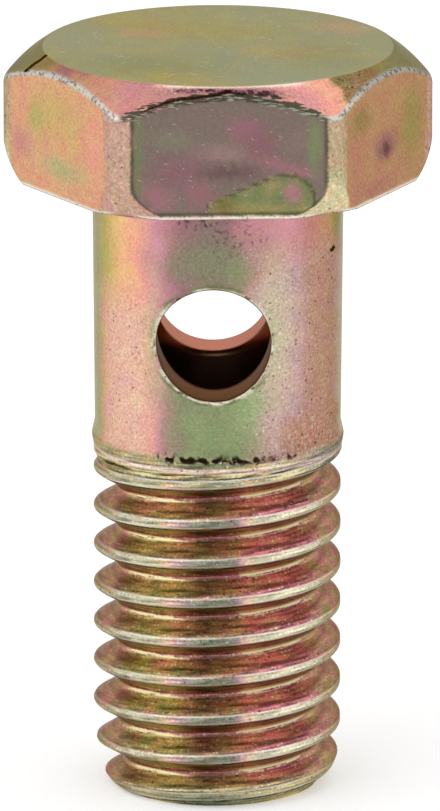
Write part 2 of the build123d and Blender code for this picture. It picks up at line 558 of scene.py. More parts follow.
def bore_surfaces(outline, hole_bottom):
    """The bore's drill point above the cross hole, its wall below and the flat thread end."""
    bore = outline.bore_diameter / 2
    top = -outline.bolt_length + outline.bore_depth
    end = -outline.bolt_length
    share = np.linspace(0, 1, 7)[:, None]
    point = from_polar(outline.ring, bore * (1 - share), top + bore / tan(DRILL_POINT / 2) * share)
    mouth = outline.bore_mouth_chamfer
    heights = np.append(np.linspace(hole_bottom, end + mouth, 8), end)[:, None]
    radii = np.append(np.full(8, bore), bore + mouth)[:, None]
    wall = from_polar(outline.ring, radii, heights)
    rim = outline.thread(outline.ring, end + 0 * outline.ring)
    share = np.linspace(0, 1, 6)[:, None]
    end_face = from_polar(outline.ring, (bore + mouth) * (1 - share) + rim * share, end + 0 * share)
    return [point, wall, end_face]


def turn_spacing(outline):
    """Heights of the rows within one turn, closer where the crest and the root bend."""
    fine = np.linspace(0, outline.pitch, 1001)
    weight = 1 + 0 * fine
    for bend, closeness in ((0.16, 2.2), (0.5, 1.6)):
        for place in (bend, outline.pitch - bend):
            weight += closeness * ridge(fine, place, 0.07)
    total = np.concatenate([[0], np.cumsum((weight[1:] + weight[:-1]) / 2)])
    return np.interp(np.linspace(0, total[-1], TURN_ROWS + 1), total, fine)


def thread_surface(outline, crest_line):
    """The shoulder and thread as one winding sheet whose rows follow the thread's helix.

    A fan of rows opens from the level ring above the shoulder to the first helical row, and
    each turn then repeats the same rows one pitch lower. Rows stop at the thread end.
    """
    steps = turn_spacing(outline)
    climb = outline.pitch * outline.ring / (2 * np.pi)
    fan = crest_line - steps[:, None] * (1 - outline.ring / (2 * np.pi))
    turns = int(np.ceil((crest_line + outline.bolt_length) / outline.pitch))
    rows = [
        crest_line - outline.pitch + climb - outline.pitch * turn - step
        for turn in range(turns)
        for step in steps[1:]
    ]
    height = np.concatenate([fan, np.array(rows)])
    height = np.maximum(height, -outline.bolt_length)
    return from_polar(outline.ring, outline.thread(outline.ring, height), height)


def welded(surfaces):
    """Vertices and triangles of several grids, with points that coincide made one.

    Each grid square gives two triangles. Points count as one within a ten-thousandth of a
    millimetre, and triangles that this closes up are left out.
    """
    points, triangles, base = [], [], 0
    for grid in surfaces:
        rows, columns = grid.shape[:2]
        index = base + np.arange(rows * columns).reshape(rows, columns)
        a, b, c, d = index[:-1, :-1], index[:-1, 1:], index[1:, 1:], index[1:, :-1]
        triangles.append(np.stack([a, b, c], axis=-1).reshape(-1, 3))
        triangles.append(np.stack([a, c, d], axis=-1).reshape(-1, 3))
        points.append(grid.reshape(-1, 3))
        base += rows * columns
    points = np.concatenate(points)
    triangles = np.concatenate(triangles)
    keys = np.round(points * 1e4).astype(np.int64)
    _, first, same = np.unique(keys, axis=0, return_index=True, return_inverse=True)
    triangles = same.ravel()[triangles]
    whole = (
        (triangles[:, 0] != triangles[:, 1])
        & (triangles[:, 1] != triangles[:, 2])
        & (triangles[:, 2] != triangles[:, 0])
    )
    return points[first], triangles[whole]


def bolt_mesh(name, outline):
    """The bolt's mesh: its grids welded into one closed skin with faces pointing outwards."""
    # Heights of the patch round the cross hole, and of the level ring where the thread's rows start
    hole_top, hole_bottom = -2.0, -7.0
    crest_line = outline.helix_start() + outline.pitch * 1.5
    surfaces = head_surfaces(outline)
    surfaces += shank_surfaces(outline, hole_top, hole_bottom, crest_line)
    surfaces += cross_hole_surfaces(outline, hole_top, hole_bottom)
    surfaces += bore_surfaces(outline, hole_bottom)
    surfaces.append(thread_surface(outline, crest_line))
    points, triangles = welded(surfaces)
    mesh = bpy.data.meshes.new(name)
    mesh.from_pydata(points * MM, [], triangles)
    work = bmesh.new()
    work.from_mesh(mesh)
    bmesh.ops.recalc_face_normals(work, faces=work.faces)
    work.to_mesh(mesh)
    work.free()
    mesh.shade_smooth()
    return mesh


# ---------------------------------------------------------------- finish


def azimuth_of(points):
    """Degrees round the axis from the front, which is -Y, growing towards +X."""
    return np.degrees(np.arctan2(points[:, 0], -points[:, 1]))


def brought_forward(azimuth):
    """The azimuth half a turn away where it is at the back, which so repeats the front."""
    return np.where(np.abs(azimuth) > 90, azimuth - 180 * np.sign(azimuth), azimuth)


def wander(points, size, seed):
    """Smooth unevenness, mostly within -1 to 1: eight sine waves of about this size."""
    draw = np.random.default_rng(seed)
    waves = draw.normal(size=(8, 3))
    waves *= (2 * np.pi / size * draw.uniform(0.7, 1.4, 8) / np.linalg.norm(waves, axis=1))[:, None]
    return np.sin(points @ waves.T + draw.uniform(0, 2 * np.pi, 8)).sum(axis=1) / 3


def spot(across, up, centre, half, tilt=0.0):
    """A soft-edged ellipse, 1 in its middle and a third at its half widths, turned by tilt."""
    turn = radians(tilt)
    x, y = across - centre[0], up - centre[1]
    along = (x * cos(turn) + y * sin(turn)) / half[0]
    beside = (y * cos(turn) - x * sin(turn)) / half[1]
    return np.exp(-((along**2 + beside**2) ** 1.3))


# The stain on the dark flats: its highest point across the flat and above the bearing face,
# the radius of its right side, how far left its tip reaches, how steeply its left side rises
# to the peak and how soft the peak is
STAIN_PEAK = (1.88, 1.36)
STAIN_RADIUS = 0.78
STAIN_TIP = -0.55
STAIN_RISE = 0.48
STAIN_SOFTNESS = 0.3

# Patches within the stain: place across the flat and above the bearing face, half widths,
# film and painted shading
STAIN_PATCHES = (
    ((2.35, 1.0), (0.25, 0.3), 0.99, 0.60),
    ((2.0, 0.80), (0.28, 0.34), 0.62, 0.58),
    ((0.9, 0.30), (1.5, 0.20), 0.12, 0.52),
    ((-0.1, 0.42), (0.35, 0.30), 0.14, 0.34),
)

# The paler frame of a flat, painted light on its rounded corners and wear along its foot, on the dark
# flats and on the others: its left and right sides across the flat, its foot, and how far its sides
# draw in over the flat's lowest millimetre
DARK_FRAME = (-2.88, 3.02, 0.16, 1.1)
PLAIN_FRAME = (-2.72, 2.65, 0.12, 0.4)

# Blooms on a flat of the head: place across it and above the bearing face, half widths, tilt,
# film and painted shading. On the front flat some of them are lighter and darker patches of
# painted reflection. The flats opposite carry the same ones the other way round.
FRONT_BLOOMS = (
    ((-2.75, 2.0), (0.22, 1.3), 0, 0.95, 0.66),
    ((-0.1, 2.05), (0.9, 0.28), 0, 0.81, 0.98),
    ((0.50, 2.78), (0.50, 0.34), 0, 0.70, 0.60),
    ((1.05, 2.30), (0.55, 0.50), -40, 0.75, 0.70),
    ((1.7, 1.62), (1.0, 0.20), -15, 0.71, 0.70),
    ((-1.45, 1.45), (0.9, 0.5), 0, 0.77, 0.72),
    ((-2.1, 0.70), (0.50, 0.32), -30, 0.68, 0.62),
    ((-0.85, 0.8), (0.45, 0.40), 0, 0.71, 0.64),
    ((-1.6, 2.5), (0.6, 0.3), 0, 0.90, 0.86),
    ((2.15, 2.42), (0.35, 0.35), 0, 0.84, 0.84),
    ((2.65, 2.30), (0.22, 0.9), 0, 0.97, 0.74),
    ((0.0, 1.45), (0.95, 0.24), 0, 0.80, 0.48),
)
LEFT_BLOOMS = (
    ((0.0, 2.6), (1.3, 0.8), 0, 0.23, 0.82),
    ((-1.2, 2.3), (0.55, 0.60), 0, 0.13, 0.88),
    ((-2.1, 1.3), (0.7, 0.5), 20, 0.52, 0.74),
    ((2.1, 2.0), (0.5, 1.2), 0, 0.45, 0.84),
    ((0.3, 0.98), (1.25, 0.42), 0, 0.07, 0.92),
    ((0.6, 1.6), (0.6, 0.4), 0, 0.33, 0.76),
)
RIGHT_BLOOMS = (
    ((-2.0, 1.3), (0.7, 0.9), 0, 0.42, 0.54),
    ((0.5, 1.6), (0.9, 0.55), 0, 0.40, 0.50),
    ((1.7, 1.9), (0.8, 1.2), 0, 0.17, 0.56),
    ((-1.8, 2.7), (0.7, 0.4), 0, 0.24, 0.44),
    ((-0.6, 0.4), (1.6, 0.30), 0, 0.48, 0.52),
    ((-0.15, 1.55), (0.62, 0.42), 0, 0.56, 0.44),
    ((-0.10, 1.45), (0.32, 0.22), 0, 0.72, 0.30),
)
# The flats in order round the axis, from the one that faces +X and +Y: base film and painted shading,
# blooms, and 1 or -1 for the way they run across the flat. The front and back flats take a dark film as
# a painted reflection, and the flats to the left are painted lighter and those to the right darker.
FLATS = (
    (0.38, 0.78, LEFT_BLOOMS, -1),
    (0.86, 0.78, FRONT_BLOOMS, -1),
    (0.35, 0.55, RIGHT_BLOOMS, -1),
    (0.38, 0.78, LEFT_BLOOMS, 1),
    (0.86, 0.78, FRONT_BLOOMS, 1),
    (0.35, 0.55, RIGHT_BLOOMS, 1),
)


class Finish:
    """How the finish lies at each point: its tint and how far each other effect goes.

    tint is the film's colour. A value of painted light and shade darkens or lightens it. The wear
    value rubs it down to the zinc, and also paints pale highlights on edges, crests and the
    burr. The soil value covers it with grime, and also with painted shade in the thread's roots,
    its fading groove, the fillet under the head and the cross hole's near wall. grain says how
    many grains catch the light, as painted glints, and inner is 0.5 on a drilled wall and 1 in
    the bore. stain, frame, edge and crease are distances in mm from four kinds of drawn line, and
    ragged is where the edge is dark and torn instead of bare. threaded is where the thread's own
    lines show, the root highlight is a painted highlight where its root catches the light, and
    scratched is where scratches lie.
    """

    # Each value where nothing has been laid
    BLANK = {
        "shade": 1.0,
        "worn": 0.0,
        "soil": 0.0,
        "grain": 0.35,
        "inner": 0.0,
        "stain": FAR,
        "frame": FAR,
        "edge": FAR,
        "crease": FAR,
        "ragged": 0.0,
        "threaded": 0.0,
        "streak": 0.0,
        "scratched": 0.0,
    }

    def __init__(self, count, colours):
        self.stages = np.array([stage for stage, _ in FILM_STAGES])
        self.colours = np.array([getattr(colours, name)[:3] for _, name in FILM_STAGES])
        self.tint = np.tile(self.film_colour(np.array([0.4])), (count, 1))
        for name, value in self.BLANK.items():
            setattr(self, name, np.full(count, value))

    def film_colour(self, film):
        """The colour that a film of this thickness has, from one stage to the next."""
        return np.stack([np.interp(film, self.stages, channel) for channel in self.colours.T], axis=-1)

    def lay(self, share, film=None, **targets):
        """Move the film's tint and the named values towards their targets by a share at each point."""
        if film is not None:
            colour = self.film_colour(film + 0 * share)
            self.tint = self.tint + (colour - self.tint) * share[:, None]
        for name, target in targets.items():
            value = getattr(self, name)
            setattr(self, name, value + (target - value) * share)


# Clouds on the top face: x and y of the middle, half widths, film and weight
TOP_CLOUDS = (
    ((-2.2, 2.6), (2.2, 1.3), 0.16, 0.55),
    ((0.3, 1.6), (1.5, 1.2), 0.12, 0.5),
    ((3.9, 2.2), (0.8, 0.9), 0.46, 0.45),
    ((-2.4, 1.6), (0.6, 0.6), 0.40, 0.35),
    ((2.2, -0.8), (1.6, 0.9), 0.22, 0.35),
    ((-2.0, -2.6), (2.4, 1.4), 0.98, 0.30),
    ((3.2, -1.2), (1.2, 2.0), 0.98, 0.22),
)


def paint_top(finish, points, share):
    """The flat top: olive khaki with tan and greener clouds, scratched all over."""
    x, y = points[:, 0], points[:, 1]
    small = wander(points, 1.5, 6)
    film = 0.035 + 0.03 * wander(points, 5.0, 5) + 0.02 * small
    # The top is painted a little lighter overall, as painted light
    finish.lay(share, film=np.clip(film, 0, 1), shade=1.04 + 0.02 * small, grain=0.25, scratched=2.4)
    for centre, half, film, weight in TOP_CLOUDS:
        cloud = spot(x + 0.3 * small, y, centre, half)
        finish.lay(share * cloud * weight, film=film, shade=0.96)


def stain_distance(across, up):
    """Signed distance from the stain's outline: a slope up from its tip, then round and down.

    The slope is a hyperbola that levels out at the peak, and the right side is a circle that
    hangs from the peak and runs straight down below its middle.
    """
    beyond = across - STAIN_PEAK[0]
    slope_top = STAIN_PEAK[1] + STAIN_SOFTNESS - np.hypot(STAIN_RISE * beyond, STAIN_SOFTNESS)
    on_slope = (up - slope_top) / np.hypot(1, STAIN_RISE)
    circle_up = np.maximum(up - STAIN_PEAK[1] + STAIN_RADIUS, 0)
    on_circle = np.hypot(beyond, circle_up) - STAIN_RADIUS
    away = np.where(beyond < 0, on_slope, on_circle)
    return np.maximum(away, STAIN_TIP - across)


def paint_stain(finish, across, up, share, uneven, fine):
    """The stain on a dark flat, and the signed distance from its outline."""
    away = stain_distance(across, up) + 0.03 * fine
    inside = share * smooth_step(-away, -0.03, 0.05)
    finish.lay(inside, film=1.03 + 0.04 * uneven, shade=0.60, grain=0.3)
    for centre, half, film, painted_dimming in STAIN_PATCHES:
        finish.lay(inside * spot(across, up, centre, half), film=film, shade=painted_dimming)
    return away


def paint_flat(finish, across, up, share, flat, uneven, fine):
    """One flat of the hexagon: its blooms, its stain, then the paler frame at its sides and foot, painted
    light where the rounded corners catch it and worn along the foot.
    """
    base, shade, blooms, way = flat
    across = across * way
    dark = blooms is FRONT_BLOOMS
    finish.lay(share, film=base, shade=shade, grain=0.45, worn=0.04, scratched=0.6)
    for centre, half, tilt, film, painted_dimming in blooms:
        weight = spot(across + 0.07 * uneven, up + 0.07 * fine, centre, half, tilt)
        finish.lay(share * weight, film=film, shade=painted_dimming)
    if dark:
        finish.lay(share, grain=0.05, scratched=0.8)
        away = paint_stain(finish, across, up, share, uneven, fine)

    # The paler frame: painted light on the rounded corners, and wear along the foot
    left, right, foot, rounding = DARK_FRAME if dark else PLAIN_FRAME
    outside = np.maximum(left - across, across - right) + rounding * np.clip(1.0 - up, 0, 1) ** 2
    band = smooth_step(outside + 0.03 * uneven, -0.04, 0.06)
    lower = smooth_step(foot + 0.03 * uneven - up, -0.02, 0.08)
    golden = (across > 0) == dark
    bright_foot = golden * smooth_step(1.7 - up, 0, 0.9)
    film = np.where(golden, 0.26 - 0.12 * bright_foot, 0.42) + 0.06 * uneven
    shade = 0.62 + 0.36 * bright_foot + 0.05 * fine
    frame = share * np.maximum(band, lower)
    finish.lay(frame, film=film, shade=shade, worn=0.38, grain=1.0, soil=0.0, scratched=0.4)
    if dark:
        to_frame = np.clip(np.maximum(outside, foot - up), -FAR, FAR)
        to_stain = np.maximum(np.clip(np.abs(away), 0, FAR), to_frame)
        finish.stain = np.where(share > 0.5, to_stain, finish.stain)
        finish.frame = np.where(share > 0.5, to_frame, finish.frame)
    finish.lay(share * ridge(up, 0.05, 0.05), worn=0.8, shade=0.95, soil=0.0)


# Colours of the chamfer round the axis: azimuth, film and painted shading, which is lightest a little right
# of the front and darkest further right
CHAMFER_STEPS = (
    (-180, 0.08, 0.60),
    (-80, 0.08, 0.62),
    (-75, 0.16, 0.50),
    (-64, 0.22, 0.58),
    (-60, 0.56, 0.52),
    (-51, 0.54, 0.56),
    (-46, 0.34, 0.66),
    (-38, 0.42, 0.70),
    (-30, 0.52, 0.80),
    (-15, 0.51, 0.76),
    (10, 0.52, 0.82),
    (20, 0.50, 1.02),
    (37, 0.48, 1.12),
    (40, 0.26, 0.40),
    (52, 0.28, 0.38),
    (58, 0.20, 0.44),
    (66, 0.08, 0.62),
    (180, 0.08, 0.60),
)
# The fold on the chamfer over the front flat, as x and distance up the chamfer's slope
FOLD = ((-2.3, 0.06), (-1.42, 0.21), (-0.67, 0.15), (-0.12, 0.18), (0.18, 0.27), (0.34, 0.40))


def from_path(x, y, path):
    """Distance from points to a chain of straight runs: the least over its runs."""
    least = np.full_like(x, 1e3)
    for (x0, y0), (x1, y1) in zip(path[:-1], path[1:]):
        run_x, run_y = x1 - x0, y1 - y0
        along = np.clip(((x - x0) * run_x + (y - y0) * run_y) / (run_x**2 + run_y**2), 0, 1)
        least = np.minimum(least, np.hypot(x - x0 - along * run_x, y - y0 - along * run_y))
    return least


def paint_chamfer(finish, z, azimuth, sloping, points, uneven):
    """The chamfer: grey olive behind, then olive, red, gold and pink round to golden brown, with painted
    light and shade round it.
    """
    steps, films, chamfer_shading = np.array(CHAMFER_STEPS).T
    swept = azimuth + 2.5 * uneven
    film = np.interp(swept, steps, films) + 0.04 * wander(points, 1.6, 21)
    finish.lay(sloping, film=film, shade=np.interp(swept, steps, chamfer_shading), grain=0.4, scratched=0.4)
    finish.lay(sloping * spot(azimuth, 0 * azimuth, (46, 0), (9, 1)), grain=1.3)
    finish.lay(sloping * spot(azimuth, z, (66, 3.75), (3, 0.12)), film=0.76, shade=0.6)


def paint_upper_edge(finish, x, azimuth, above, head, top, sloping, slant):
    """The hexagon's upper edge: rubbed bare at the corners, which also stands in for the edge's highlight,
    with painted shade on the right, and dark and torn over the front flat.

    Over the front flat the chamfer has a fold, torn patches beside it and a painted highlight along
    the top circle, and a dark line crosses the chamfer at the left.
    """
    finish.edge = np.clip(above, -FAR, FAR)
    front = between(azimuth, -28.5, -26, 29.5, 32)
    finish.ragged = head * front
    # The rubbed edge's pale line also stands in for its highlight, and painted shade darkens it on the right
    edge = head * (1 - top) * (1 - front) * ridge(above, 0, 0.08)
    finish.lay(edge, worn=0.4, shade=0.85 - 0.25 * smooth_step(azimuth, 40, 50), soil=0.0)
    within = above / slant
    front_face = sloping * (np.abs(azimuth) < 50)
    to_fold = from_path(x, above / sin(CHAMFER_ANGLE), FOLD)
    finish.crease = np.where(front_face > 0.3, np.clip(to_fold, 0, FAR), finish.crease)
    torn = spot(x, within, (-0.62, 0.72), (0.95, 0.22)) + spot(x, within, (1.05, 0.52), (1.0, 0.30))
    finish.lay(front_face * np.clip(torn * 1.3, 0, 1), soil=0.52, film=0.62, shade=0.62, grain=1.2)
    # A painted highlight along the top circle over the front
    top_circle_highlight = ridge(within, 0.96, 0.10) * between(azimuth, -25, -14, 24, 35)
    finish.lay(front_face * top_circle_highlight, worn=0.7, shade=1.3, film=0.52, soil=0.0)
    finish.lay(sloping * ridge(azimuth, -76, 1.6), soil=0.9, shade=0.6)


def paint_head(finish, points, normals, outline):
    """The head: its flats, its chamfer, the edge between them, its top and its bearing face."""
    x, y, z = points.T
    angle = np.arctan2(y, x)
    azimuth = azimuth_of(points)
    upward = normals[:, 2]
    uneven = wander(points, 0.7, 11)
    fine = wander(points, 0.25, 12)
    head = smooth_step(z, -0.02, 0.01)
    top = head * smooth_step(upward, 0.94, 0.99) * (z > outline.head_height / 2)
    upright = head * (1 - smooth_step(upward, 0.30, 0.62))
    sloping = head * smooth_step(upward, 0.30, 0.62) * (1 - top)
    for side, flat in enumerate(FLATS):
        facing = outline.hex_turn + SIXTH * (side + 0.5)
        turned = (angle - facing + np.pi) % (2 * np.pi) - np.pi
        share = upright * (np.abs(turned) <= SIXTH / 2)
        across = y * cos(facing) - x * sin(facing)
        paint_flat(finish, across, z, share, flat, uneven, fine)
    paint_chamfer(finish, z, azimuth, sloping, points, uneven)
    edge_height = outline.cone_height(outline.hexagon_radius(angle)) - outline.wear(angle)
    slant = np.maximum(outline.head_height - edge_height, 1e-3)
    paint_upper_edge(finish, x, azimuth, z - edge_height, head, top, sloping, slant)
    paint_top(finish, points, top)
    # The bearing face, with painted shade under the head
    finish.lay(head * smooth_step(-upward, 0.3, 0.8) * (z < 0.02), film=0.45, shade=0.8, worn=0.3)


# Bands of the shank's film: the azimuths at which each starts, is full, fades and is gone, the
# depths at which it starts and is full, its film, how far that wanders and what else is laid,
# including painted shade
SHANK_BANDS = (
    ((-76, -60, -40, -26), (2.4, 4.0), 0.44, 0.04, {"worn": 0.36, "shade": 0.86, "grain": 0.85}),
    ((8, 22, 76, 86), (1.0, 2.6), 0.55, 0.04, {"worn": 0.46, "shade": 0.66, "grain": 0.9}),
    ((40, 48, 66, 76), (1.0, 2.6), 0.43, 0.05, {"worn": 0.28, "shade": 0.52, "grain": 1.0}),
)
# Patches on the shank: azimuth and height of the middle, half widths, weight and what is laid
SHANK_PATCHES = (
    ((-4, -1.9), (24, 0.80), 0.75, {"film": 0.95, "shade": 0.74, "worn": 0.15}),
    ((9, -2.2), (6, 0.7), 0.6, {"film": 0.99, "shade": 0.84}),
    ((27, -4.3), (9, 2.4), 0.9, {"film": 0.06, "shade": 0.98, "worn": 0.30}),
    ((-31, -4.6), (6, 2.0), 0.6, {"film": 0.08, "shade": 0.95, "worn": 0.15}),
)


def paint_shank(finish, points):
    """The shank: the film's colour goes from a peak at the front to both sides, and the back repeats it. This
    is the film's colour changing with the angle of view, painted as it looks from the front, with painted
    shade on the right and pale sides where they are seen at a glance.

    Green lies above and below the cross hole, and more grains show towards the right.
    """
    z = points[:, 2]
    below = between(-z, -0.01, 0.02, 8.0, 8.25)
    uneven = wander(points, 1.2, 31)
    azimuth = brought_forward(azimuth_of(points)) + 1.5 * uneven
    left = 0.82 * np.cos(np.radians(np.clip(azimuth, -84, 0) * 1.04)) ** 2
    right = 0.66 * (1 - np.clip(azimuth / 76, 0, 1) ** 3)
    film = np.where(azimuth < 0, left, right + 0.16 * ridge(azimuth, 0, 8))
    # Painted shade on the right side
    painted_dimming = 0.92 - 0.34 * between(azimuth, 30, 50, 76, 86)
    finish.lay(below, film=film, shade=painted_dimming, grain=0.3, scratched=0.35)
    for around, depths, film, wandering, laid in SHANK_BANDS:
        share = below * between(azimuth, *around) * smooth_step(-z, *depths)
        finish.lay(share, film=film + wandering * uneven, **laid)
    for centre, half, weight, laid in SHANK_PATCHES:
        finish.lay(below * spot(azimuth, z, centre, half) * weight, **laid)

    # The green below the cross hole, the grey sides, painted pale as seen at a glance, and the brown grains
    # at the lower right
    green = smooth_step(-z, 5.2, 6.0) * between(azimuth, -33, -12, 6, 32)
    finish.lay(below * green, film=0.99 + 0.02 * uneven, shade=0.80, worn=0.15)
    finish.lay(below * spot(azimuth, z, (15, -6.3), (7, 1.3)), film=1.0, shade=1.0)
    finish.lay(below * smooth_step(np.abs(azimuth), 70, 82), film=0.05, shade=0.94, worn=0.42)
    foot = smooth_step(-z, 6.6, 7.4) * between(azimuth, 25, 40, 70, 84)
    finish.lay(below * foot, film=0.42, shade=0.50, grain=1.3, worn=0.2)

    # Painted shadow in the fillet under the head, grime specks under the head and one dark pit
    finish.lay(below * ridge(z, -0.10, 0.07) * (z < 0), soil=0.4)
    specks = spot(azimuth, z, (-18, -0.45), (20, 0.35)) + 0.8 * spot(azimuth, z, (8, -1.2), (22, 0.9))
    finish.lay(below * np.clip(specks, 0, 1), soil=0.45)
    finish.lay(below * spot(azimuth, z, (66, -2.0), (3, 0.12)), soil=0.95)


def paint_thread(finish, points, outline):
    """Each turn: a rubbed crest, a brown lower flank and root, and a gold to red upper flank. Its light and
    shade are painted: darker in the middle of the front, in the root and towards the sides, with a painted
    highlight where the root catches the light.

    place runs up one pitch from the root of the groove at 0, over the crest at 0.5.
    """
    x, y, z = points.T
    angle = np.arctan2(y, x) % (2 * np.pi)
    azimuth = azimuth_of(points)
    front = brought_forward(azimuth)
    uneven = wander(points, 0.8, 41)
    area = smooth_step(-z, 8.0, 8.3)
    groove = outline.first_groove + outline.pitch * (angle - outline.groove_start) / (2 * np.pi)
    place = ((z - groove) / outline.pitch) % 1.0
    rim = smooth_step(np.abs(front), 46, 68)
    crest = smooth_step(0.10 - 0.05 * rim - np.abs(place - 0.44 + 0.03 * rim), -0.02, 0.03)
    root = smooth_step(np.abs(place - 0.5) * 2, 0.74, 0.95)
    # Downwards from the root at 1 the upper flank of the crest below runs to that crest at 0.5
    upper = area * between(place, 0.50, 0.56, 0.90, 0.97)
    nearer = smooth_step(-place, -0.85, -0.55)
    left = smooth_step(-front, 8, 34)
    right = smooth_step(front, 4, 20)
    middle = (1 - left) * (1 - right)

    # Painted light and shade by azimuth: darker in the middle of the front, lighter to the left and right,
    # and on the upper flank lighter towards its crest
    finish.lay(area, film=1.13, shade=0.66, grain=1.1)
    finish.lay(area * left, film=1.09 + 0.05 * uneven, shade=1.04)
    finish.lay(area * right, film=1.15 + 0.04 * uneven, shade=0.74)
    finish.lay(upper, film=1.17 + 0.04 * uneven, shade=0.64 + 0.25 * nearer)
    finish.lay(upper * right, film=1.29 + 0.04 * uneven, shade=1.06 + 0.25 * nearer)
    finish.lay(upper * right * smooth_step(front, 34, 44), shade=0.82 + 0.1 * nearer)
    finish.lay(upper * left, film=1.11 + 0.05 * uneven, shade=1.16)
    mossy = smooth_step(wander(points, 1.1, 43), -0.1, 0.6)
    finish.lay(upper * left * mossy * (1 - rim), film=0.13, shade=1.0)
    ruddy = smooth_step(wander(points, 2.3, 44), 0.3, 0.8)
    finish.lay(upper * left * ruddy * 0.6, film=1.27, shade=0.9)
    # Painted shade in the root
    finish.lay(area * root, film=1.36, shade=0.62 + 0.3 * left, soil=0.12)

    # A painted highlight where the root catches the light, a little higher on the right than on the left
    to_root_highlight = (place - 0.93 - 0.055 * smooth_step(front, -14, 14) + 0.5) % 1.0 - 0.5
    finish.streak = area * ridge(to_root_highlight, 0, 0.10) * (1.25 * right + left) * (1 - 0.8 * rim)
    finish.lay(area * rim, film=1.15 + 0.04 * uneven, shade=0.86, worn=0.03, grain=0.8)
    finish.lay(upper * rim, film=1.20 + 0.05 * uneven, shade=0.84)
    # Painted shade towards the sides
    finish.lay(area * smooth_step(np.abs(front), 68, 84), shade=0.66)
    # The rubbed crest, painted darker in the middle of the front and towards the sides
    finish.lay(area * crest, film=0.08 + 0.88 * middle, shade=0.98 - 0.38 * middle - 0.25 * rim, soil=0.0)
    finish.lay(area * crest, worn=0.46 - 0.1 * middle, grain=0.9)
    finish.threaded = area * (1 - 0.5 * rim)
    paint_shoulder(finish, points, front, middle, uneven)
    end = area * smooth_step(-z, 18.3, 18.7)
    finish.lay(end * smooth_step(azimuth, -90, -20), film=0.15, worn=0.35, shade=0.9, soil=0.0)
    finish.lay(end * spot(front, z, (-2, -19.1), (26, 0.3)), film=1.0, shade=0.5)


def paint_shoulder(finish, points, front, middle, uneven):
    """The shoulder and the fading groove over the first turn: pale gold between dark lines, with a painted
    highlight in the groove's root, painted shade in the middle of the front and dark flecks of painted shade
    in the groove.
    """
    z = points[:, 2]
    shoulder = between(-z, 8.0, 8.25, 8.7, 9.25)
    finish.lay(shoulder, film=0.13 + 0.06 * uneven, shade=0.80, worn=0.30, soil=0.0, grain=0.9)
    finish.lay(shoulder * smooth_step(front, 34, 50), film=0.9, shade=0.74)
    # Painted shade in the middle of the front
    finish.lay(shoulder * smooth_step(z, -8.45, -8.3) * middle, film=0.95, shade=0.62, worn=0.15)
    # Dark flecks of painted shade in the fading groove
    groove_shade_flecks = ridge(z, -8.12, 0.22) * smooth_step(wander(points, 0.3, 42), -1.0, 0.0)
    finish.lay(groove_shade_flecks * between(front, -38, -24, 16, 30), soil=0.66, shade=0.8)
    finish.lay(groove_shade_flecks * spot(front, z, (33, -8.15), (14, 0.2)), soil=0.6, film=1.36)
    # A painted highlight along the fading groove's root
    finish.streak = finish.streak * (1 - shoulder) + 0.6 * shoulder * smooth_step(-z, 8.5, 8.65)
    finish.threaded = np.maximum(finish.threaded, 1.5 * shoulder * smooth_step(-z, 8.5, 8.6))
    finish.lay(ridge(z, -8.47, 0.06), film=0.55, worn=0.6, shade=0.95)


def paint_inside(finish, points, outline):
    """The drilled walls and the bore, where little light and little passivate reach. The walls are
    painted lighter and the near wall darker, as painted light and shade.

    Round the cross hole's rim lie pale bare metal, which also stands in for the burr's highlight,
    grime and a thin dark line, all of them broken.
    """
    x, y, z = points.T
    radius = np.hypot(x, y)
    bore_radius, hole = outline.bore_diameter / 2, outline.cross_hole_diameter / 2
    bore_top = outline.bore_depth - outline.bolt_length + bore_radius
    bore = smooth_step(bore_radius + 0.02 - radius, 0.0, 0.01) * (z < bore_top)
    from_axis = np.hypot(x - outline.cross_hole_offset, z + outline.cross_hole_depth)
    drilled = smooth_step(hole + 0.03 - from_axis, 0.0, 0.02) * (1 - bore)
    past_walls = 3.5
    outer = radius > past_walls
    lip = outer * ridge(from_axis, hole + 0.06, 0.08)
    bare = smooth_step(wander(points, 0.6, 51), -0.6, 0.1)
    finish.lay(lip * bare, film=0.10, worn=0.7, grain=1.2, shade=0.9)
    finish.lay(lip * smooth_step(wander(points, 0.35, 52), -0.2, 0.5), soil=0.5)
    dark = outer * ridge(from_axis, hole + 0.13, 0.035)
    finish.lay(dark * smooth_step(wander(points, 0.9, 53), -0.9, 0.5), film=1.0, shade=0.5, worn=0.0)
    # Painted light on the drilled walls, and painted shade on the near wall
    finish.lay(drilled, inner=0.5, shade=2.0, worn=0.0, soil=0.0)
    finish.lay(drilled * (y < 0), film=1.06, inner=0.36, shade=0.75, soil=0.35)
    finish.lay(bore, inner=1.0)


def paint(mesh, outline, colours):
    """Give a mesh the finish's tint and values as attributes on its points."""
    count = len(mesh.vertices)
    points, normals = np.empty(count * 3), np.empty(count * 3)
    mesh.vertices.foreach_get("co", points)
    mesh.vertex_normals.foreach_get("vector", normals)
    points, normals = points.reshape(-1, 3) / MM, normals.reshape(-1, 3)
    finish = Finish(count, colours)
    paint_head(finish, points, normals, outline)
    paint_shank(finish, points)
    paint_thread(finish, points, outline)
    paint_inside(finish, points, outline)
    tint = mesh.attributes.new("tint", "FLOAT_COLOR", "POINT")
    tint.data.foreach_set("color", np.column_stack([finish.tint, np.ones(count)]).ravel())
    for name in Finish.BLANK:
        attribute = mesh.attributes.new(name, "FLOAT", "POINT")
        attribute.data.foreach_set("value", getattr(finish, name))


# ---------------------------------------------------------------- material


MATH, MIX, RANGE = "ShaderNodeMath", "ShaderNodeMix", "ShaderNodeMapRange"
NOISE, CELLS = "ShaderNodeTexNoise", "ShaderNodeTexVoronoi"
TONE, MAPPING, STORED = "ShaderNodeHueSaturation", "ShaderNodeMapping", "ShaderNodeAttribute"
# The inputs of a node that mixes two colours
SHARE, UNDER, OVER = "Factor_Float", "A_Color", "B_Color"

